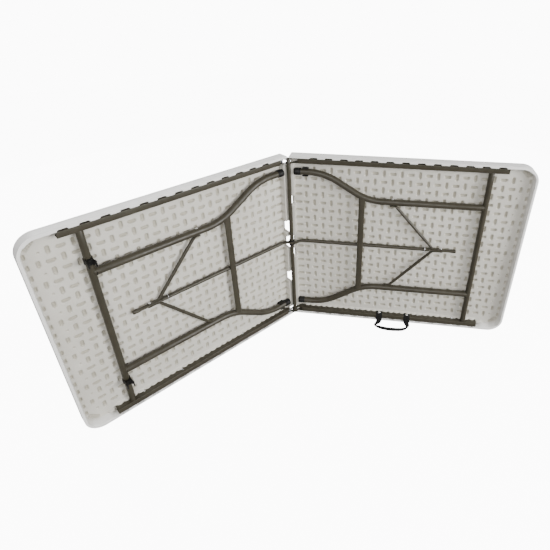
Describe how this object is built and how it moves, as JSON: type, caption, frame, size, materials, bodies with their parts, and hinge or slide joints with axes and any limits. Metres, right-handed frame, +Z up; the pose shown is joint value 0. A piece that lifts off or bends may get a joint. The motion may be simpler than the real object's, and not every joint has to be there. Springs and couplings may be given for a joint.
{
  "type": "folding picnic table",
  "caption": "Fold-in-half trestle table: two moulded panels on a fold tube, with side rails, wishbone legs, locking braces, closing clips and a strap handle.",
  "frame": {"origin": "on the floor, at the middle of the table's width and depth as it stands half open on one long edge", "axes": "+Z up along the folding axis, +X to the right half, -Y towards the open side of the halves, where the legs and frame show"},
  "size_m": [1.6792, 0.4369, 0.762],
  "materials": {
    "panel_plastic": "satin",
    "frame_steel": "satin powder coat",
    "black_plastic": "satin",
    "zinc_steel": "bright zinc",
    "black_webbing": "woven"
  },
  "bodies": {
    "right_half": {"right_top_panel": "panel_plastic", "right_upper_rail": "frame_steel", "right_lower_rail": "frame_steel", "fold_tube": "frame_steel", "fold_collar_upper": "black_plastic", "fold_collar_lower": "black_plastic", "right_leg_retainer": "black_plastic", "handle_anchor_inner": "black_webbing", "handle_anchor_outer": "black_webbing", "handle_rivet_inner": "zinc_steel", "handle_rivet_outer": "zinc_steel"},
    "left_half": {"left_top_panel": "panel_plastic", "left_upper_rail": "frame_steel", "left_lower_rail": "frame_steel", "left_upper_hinge_plate": "frame_steel", "left_lower_hinge_plate": "frame_steel", "left_upper_hinge_bolt": "zinc_steel", "left_lower_hinge_bolt": "zinc_steel", "left_leg_retainer": "black_plastic"},
    "handle": {"carry_handle": "black_webbing"},
    "clip_upper": {"closing_clip_upper": "black_plastic"},
    "clip_lower": {"closing_clip_lower": "black_plastic"},
    "right_leg_frame": {"right_pivot_tube": "frame_steel", "right_leg_crossbar": "frame_steel", "right_leg_upper": "frame_steel", "right_leg_lower": "frame_steel", "right_foot_cap_upper": "black_plastic", "right_foot_cap_lower": "black_plastic", "right_leg_rivet_upper": "zinc_steel", "right_leg_rivet_lower": "zinc_steel"},
    "right_fork": {"right_fork_upper": "frame_steel", "right_fork_lower": "frame_steel", "right_fork_rivet_upper": "zinc_steel", "right_fork_rivet_lower": "zinc_steel"},
    "right_brace": {"right_centre_brace": "frame_steel"},
    "right_ring": {"right_lock_ring": "zinc_steel"},
    "left_leg_frame": {"left_pivot_tube": "frame_steel", "left_leg_crossbar": "frame_steel", "left_leg_upper": "frame_steel", "left_leg_lower": "frame_steel", "left_foot_cap_upper": "black_plastic", "left_foot_cap_lower": "black_plastic", "left_leg_rivet_upper": "zinc_steel", "left_leg_rivet_lower": "zinc_steel"},
    "left_fork": {"left_fork_upper": "frame_steel", "left_fork_lower": "frame_steel", "left_fork_rivet_upper": "zinc_steel", "left_fork_rivet_lower": "zinc_steel"},
    "left_brace": {"left_centre_brace": "frame_steel"},
    "left_ring": {"left_lock_ring": "zinc_steel"}
  },
  "joints": [
    {"name": "table_fold", "type": "hinge", "parent": "right_half", "child": "left_half", "pos_m": [0, 0.18008, 0.381], "axis": [0, 0, -1], "range_deg": [-128, 52]},
    {"name": "right_leg_swing", "type": "hinge", "parent": "right_half", "child": "right_leg_frame", "pos_m": [0.68206, -0.13534, 0.381], "axis": [0, 0, 1], "range_deg": [0, 90]},
    {"name": "right_brace_swing", "type": "hinge", "parent": "right_half", "child": "right_brace", "pos_m": [0, 0.18008, 0.381], "axis": [0, 0, 1], "range_deg": [-25.82, 0]},
    {"name": "right_fork_swing", "type": "hinge", "parent": "right_leg_frame", "child": "right_fork", "pos_m": [0.36901, 0.01735, 0.381], "axis": [0, 0, 1], "range_deg": [0, 64.75]},
    {"name": "right_ring_slide", "type": "slide", "parent": "right_brace", "child": "right_ring", "axis": [0.8988, -0.4384, 0], "range_m": [0, 0.088]},
    {"name": "left_leg_swing", "type": "hinge", "parent": "left_half", "child": "left_leg_frame", "pos_m": [-0.68206, -0.13534, 0.381], "axis": [0, 0, -1], "range_deg": [0, 90]},
    {"name": "left_brace_swing", "type": "hinge", "parent": "left_half", "child": "left_brace", "pos_m": [0, 0.18008, 0.381], "axis": [0, 0, -1], "range_deg": [-25.82, 0]},
    {"name": "left_fork_swing", "type": "hinge", "parent": "left_leg_frame", "child": "left_fork", "pos_m": [-0.36901, 0.01735, 0.381], "axis": [0, 0, -1], "range_deg": [0, 64.75]},
    {"name": "left_ring_slide", "type": "slide", "parent": "left_brace", "child": "left_ring", "axis": [-0.8988, -0.4384, 0], "range_m": [0, 0.088]},
    {"name": "clip_upper_swivel", "type": "hinge", "parent": "left_leg_frame", "child": "clip_upper", "pos_m": [-0.68206, -0.13534, 0.631], "axis": [0, 0, 1], "range_deg": [0, 60]},
    {"name": "clip_lower_swivel", "type": "hinge", "parent": "left_leg_frame", "child": "clip_lower", "pos_m": [-0.68206, -0.13534, 0.131], "axis": [0, 0, 1], "range_deg": [0, 60]},
    {"name": "handle_swing", "type": "hinge", "parent": "right_half", "child": "handle", "pos_m": [0.40185, -0.01569, 0.012], "axis": [0.8988, -0.4384, 0], "range_deg": [-26.5, 65.1]}
  ],
  "couplings": [
    {"joint": "right_brace_swing", "follows": "right_leg_swing", "ratio": -0.28678},
    {"joint": "right_fork_swing", "follows": "right_leg_swing", "ratio": 0.71932},
    {"joint": "right_ring_slide", "follows": "right_leg_swing", "m_per_rad": 0.056},
    {"joint": "left_brace_swing", "follows": "left_leg_swing", "ratio": -0.28678},
    {"joint": "left_fork_swing", "follows": "left_leg_swing", "ratio": 0.71932},
    {"joint": "left_ring_slide", "follows": "left_leg_swing", "m_per_rad": 0.056},
    {"joint": "handle_swing", "follows": "table_fold", "ratio": -0.50781}
  ]
}
